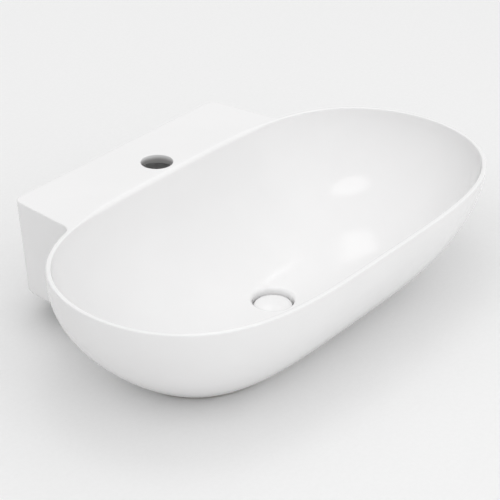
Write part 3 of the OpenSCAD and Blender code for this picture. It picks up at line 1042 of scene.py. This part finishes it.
housingSizes = {
    "chamber": 0.006,
    "rim": 0.002,
    "guide": 0.006,
    "groove": 0.0005,
    "grooveFloor": 0.6,           # share of the groove's half width
    "grooveHeights": (0.25, 0.35),
}


def cartridgeHousing(sizes, material):
    low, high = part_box("cartridge_housing")
    body = wasteSizes["housing"]
    rimLow, guideLow = high.z - sizes["rim"], high.z - sizes["guide"]
    groove, flat = sizes["groove"], sizes["groove"] * sizes["grooveFloor"]
    corners = [(sizes["chamber"], low.z), (body, low.z, 0.0005)]
    for place in sizes["grooveHeights"]:        # shallow, as a moulded sleeve has
        level = low.z + (rimLow - low.z) * place
        corners += [(body, level - groove, 0.0001), (body - groove, level - flat, 0.0001),
                    (body - groove, level + flat, 0.0001), (body, level + groove, 0.0001)]
    corners += [(body, rimLow), (high.x, rimLow, 0.0003), (high.x, high.z, 0.0006), (rodHole, high.z, 0.0003),
                (rodHole, guideLow, 0.0002), (sizes["chamber"], guideLow, 0.0004)]
    return turned("cartridgeHousing", corners, material)


slotSizes = {"length": 0.013, "width": 0.0016, "depth": 0.001}


def endCap(sizes, material):
    # the slot lets a screwdriver turn it into the sleeve
    low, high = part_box("cartridge_end_cap")
    corners = [(0, low.z), (high.x, low.z, 0.0004), (high.x, high.z, 0.0002), (0, high.z)]
    x, y = sizes["length"] / 2, sizes["width"] / 2
    depth = sizes["depth"]
    slot = bar("slot", (-x, -y, low.z - depth), (x, y, low.z + depth), 0.0002)
    return fuse(turned("endCap", corners, material), [slot], "DIFFERENCE")


springSizes = {
    "turns": 5.0,
    "wire": 0.0009,
    "coil": 0.0051,
    "low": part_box("cartridge_spring")[0].z,
    "high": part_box("cartridge_spring")[1].z,
    "closing": 0.055,           # of the ends, as a share of the height
    "stepsPerTurn": 40,
    "sides": 12,
}


def cartridgeSpring(sizes, material):
    # a wire on a helix that closes up at each end, as a spring does where it bears
    board = GroupBoard("cartridgeSpring")
    size = board.inputs(sizes)
    steps = size["turns"] * size["stepsPerTurn"] + 1
    line = board.make("GeometryNodeCurvePrimitiveLine", {"Start": (0, 0, 0), "End": (0, 0, 1)})
    coil = board.make("GeometryNodeResampleCurve", {"Curve": line, "Count": steps})
    share = board.make("GeometryNodeSplineParameter", output="Factor")
    angle = share * size["turns"] * (2 * math.pi)
    room = size["high"] - size["low"] - size["wire"]
    easing = (share * (2 * math.pi)).sine() * size["closing"]
    level = size["low"] + size["wire"] / 2 + room * (share - easing)
    spot = board.point(size["coil"] * angle.cosine(), size["coil"] * angle.sine(), level)
    wound = board.make("GeometryNodeSetPosition", {"Geometry": coil, "Position": spot})
    wire = board.make("GeometryNodeCurvePrimitiveCircle",
                      {"Resolution": size["sides"], "Radius": size["wire"] / 2})
    tube = board.make("GeometryNodeCurveToMesh", {"Curve": wound, "Profile Curve": wire, "Fill Caps": True})
    return soften(grow("cartridgeSpring", board, tube, sizes, material))


tailSizes = {
    "pipe": 0.016,
    "wall": 0.0015,
    "collar": 0.005,
    "spigot": 0.0151,
    "spigotWall": 0.0016,
    "groove": (0.0045, 0.007),      # from the pipe's lower end
    "grooveDepth": 0.00025,
    "grooveSlope": 0.0005,
    "tip": 0.0006,
    "threadShare": 0.6,             # of the shank's pitch and depth
    "threadGap": 0.002,
}


def tailPipe(sizes, thread, material):
    low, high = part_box("tail_pipe")
    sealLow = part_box("tail_seal")[0].z
    collarLow = sealLow - sizes["collar"]
    pipe, spigot, tip, slope = sizes["pipe"], sizes["spigot"], sizes["tip"], sizes["grooveSlope"]
    pipeBore, spigotBore = pipe - sizes["wall"], spigot - sizes["spigotWall"]
    grooveLow, grooveHigh = (low.z + place for place in sizes["groove"])
    grooved = pipe - sizes["grooveDepth"]
    corners = [(spigotBore, sealLow, 0.002), (pipeBore, collarLow, 0.002), (pipeBore, low.z, 0.0004),
               (pipe, low.z, 0.0007), (pipe, grooveLow, 0.0006), (grooved, grooveLow + slope, 0.0004),
               (grooved, grooveHigh - slope, 0.0004), (pipe, grooveHigh, 0.0006), (pipe, collarLow, 0.0006),
               (high.x, collarLow, 0.0008), (high.x, sealLow, 0.0004)]
    corners += wall(spigot, sealLow, high.z - tip, thread["step"])
    corners += [(spigot - tip, high.z), (spigotBore, high.z, 0.0004)]
    pitch, depth = thread["pitch"] * sizes["threadShare"], thread["depth"] * sizes["threadShare"]
    cut = threaded(spigot, sealLow + sizes["threadGap"], high.z, pitch, depth)
    return turned("tailPipe", corners, material, slices=144, shape=cut)


stands(wasteBody(wasteSizes, threadSizes, chrome), "root", "waste_body")
stands(washer("flangeGasket", "flange_gasket", shankHole, rubber), "root", "flange_gasket")
stands(ribbedWasher(ribSizes, rubber), "root", "under_washer")
stands(washer("slipWasher", "slip_washer", slipHole, plastic, 0.0003), "root", "slip_washer")
stands(backNut(nutSizes, threadSizes, brass), "root", "backnut")
stands(plugCap(capSizes, capGlaze), "plug", "plug_cap")
stands(capCore(capSizes, threadSizes, brass), "plug", "cap_core")
stands(washer("capSeal", "cap_seal", sealHole, rubber, 0.0005), "plug", "cap_seal")
stands(plungerRod(latchSizes, threadSizes, brass), "plug", "plunger")
stands(latchRing(latchSizes, plastic), "plug", "latch_ring")
stands(cartridgeHousing(housingSizes, plastic), "root", "cartridge_housing")
stands(endCap(slotSizes, plastic), "root", "cartridge_end_cap")
stands(cartridgeSpring(springSizes, steel), "root", "cartridge_spring")
stands(washer("tailSeal", "tail_seal", bore, rubber, 0.0004), "root", "tail_seal")
stands(tailPipe(tailSizes, threadSizes, chrome), "root", "tail_pipe")
print("waste made")


# Stage, lamps and camera

stageSizes = {"floor": 6.0, "level": -0.0002, "tone": 0.85, "grain": 0.01, "specks": 220, "roughness": 0.75}


def makeFloor(sizes):
    board = Look("paleFloor")
    speck = board.ramp(board.noise(sizes["specks"]), 0.35, 0.65)
    light, dark = [(tone, tone, tone, 1) for tone in (sizes["tone"], sizes["tone"] - sizes["grain"])]
    # from below, the camera sees the underside through the floor
    below = board.make("ShaderNodeNewGeometry", output="Backfacing")
    seen = board.make("ShaderNodeLightPath", output="Is Camera Ray")
    half = sizes["floor"] / 2
    mesh = bpy.data.meshes.new("paleFloor")
    corners = [(-half, -half), (half, -half), (half, half), (-half, half)]
    mesh.from_pydata([(x, y, sizes["level"]) for x, y in corners], [], [(0, 1, 2, 3)])
    colour = board.mix(speck, light, dark)
    mesh.materials.append(board.finish({"Base Color": colour, "Roughness": sizes["roughness"],
                                        "Alpha": 1 - below * seen}))
    placed("paleFloor", mesh)


makeFloor(stageSizes)

# where each soft panel hangs, seen from the basin, its size, and its glow, where 1 is plain white
panels = {
    "overhead": {"azimuth": 0, "elevation": 90, "distance": 1.92, "size": (0.78, 0.78), "glow": 1.67,
                 "shape": "DISK"},
    "patch": {"azimuth": 49.1, "elevation": 39.6, "distance": 2.24, "size": (0.19, 0.48), "glow": 1.05},
    "spot": {"azimuth": 56, "elevation": 37.3, "distance": 3.5, "size": (0.12, 0.11), "glow": 1.9},
}
lampAim = (0, 0.03, 0.08)


def hangPanel(name, azimuth, elevation, distance, size, glow, shape="RECTANGLE"):
    data = bpy.data.lights.new(name, "AREA")
    data.shape = shape
    data.size, data.size_y = size
    area = size[0] * size[1] * (math.pi / 4 if shape == "DISK" else 1)
    data.energy = glow * math.pi * area
    turn, rise = math.radians(azimuth), math.radians(elevation)
    away = Vector((math.sin(turn) * math.cos(rise), math.cos(turn) * math.cos(rise), math.sin(rise)))
    lamp = placed(name, data)
    lamp.location = Vector(lampAim) + away * distance
    lamp.rotation_euler = (-away).to_track_quat("-Z", "Y").to_euler()


for name, sizes in panels.items():
    hangPanel(name, **sizes)

# how bright the room is in each direction
roomLight = {
    "low": (0.0, 0.03, 1.36, 0.0),      # at the back, right, front and left, below the first height
    "high": (0.74, 1.1, 1.23, 1.8),     # and above the second one, where 1 is straight up
    "heights": (0.2, 0.6),
    "top": 0.9,                         # overhead, likewise
    "topHeights": (0.75, 0.95),
    "seen": 0.84,                       # by the camera and in the gloss, as pale as the floor
}


def climb(value, start, end):
    return ((value - start) * (1 / (end - start))).atLeast(0).atMost(1)


def lightRoom(glow):
    world = bpy.data.worlds.new("studioWorld")
    bpy.context.scene.world = world
    world.use_nodes = True
    board = Board(world.node_tree)
    across, along, up = board.split(board.make("ShaderNodeTexCoord", output="Generated"))
    level = (across.squared() + along.squared()).atLeast(1e-6)
    height, crown = climb(up, *glow["heights"]), climb(up, *glow["topHeights"])
    ways = along.atLeast(0), across.atLeast(0), (along * -1).atLeast(0), (across * -1).atLeast(0)
    around = sum(way.squared() / level * (height * (high - low) + low)
                 for way, low, high in zip(ways, glow["low"], glow["high"]))
    total = around * (1 - crown) + crown * glow["top"]
    ray = board.add("ShaderNodeLightPath")
    seen = Wire(board, ray.outputs["Is Camera Ray"])
    for kind in ("Is Glossy Ray", "Is Transmission Ray"):
        seen = seen.atLeast(Wire(board, ray.outputs[kind]))
    strength = total + (glow["seen"] - total) * seen
    sky = board.make("ShaderNodeBackground", {"Color": (1, 1, 1, 1), "Strength": strength})
    board.add("ShaderNodeOutputWorld", {"Surface": sky})


lightRoom(roomLight)

cameraSizes = {
    "lens": 122.4,
    "sensor": 36,
    "place": (-1.2269, -0.9535, 0.9574),
    "azimuth": -51.241,
    "elevation": 29.273,
}


def placeCamera(sizes):
    data = bpy.data.cameras.new("camera")
    data.lens = sizes["lens"]
    data.sensor_width = sizes["sensor"]
    camera = placed("camera", data)
    camera.location = sizes["place"]
    camera.rotation_euler = (math.radians(90 - sizes["elevation"]), 0, math.radians(sizes["azimuth"]))
    bpy.context.scene.camera = camera


placeCamera(cameraSizes)
bpy.context.scene.view_settings.view_transform = "Standard"
print("stage, lamps and camera set")
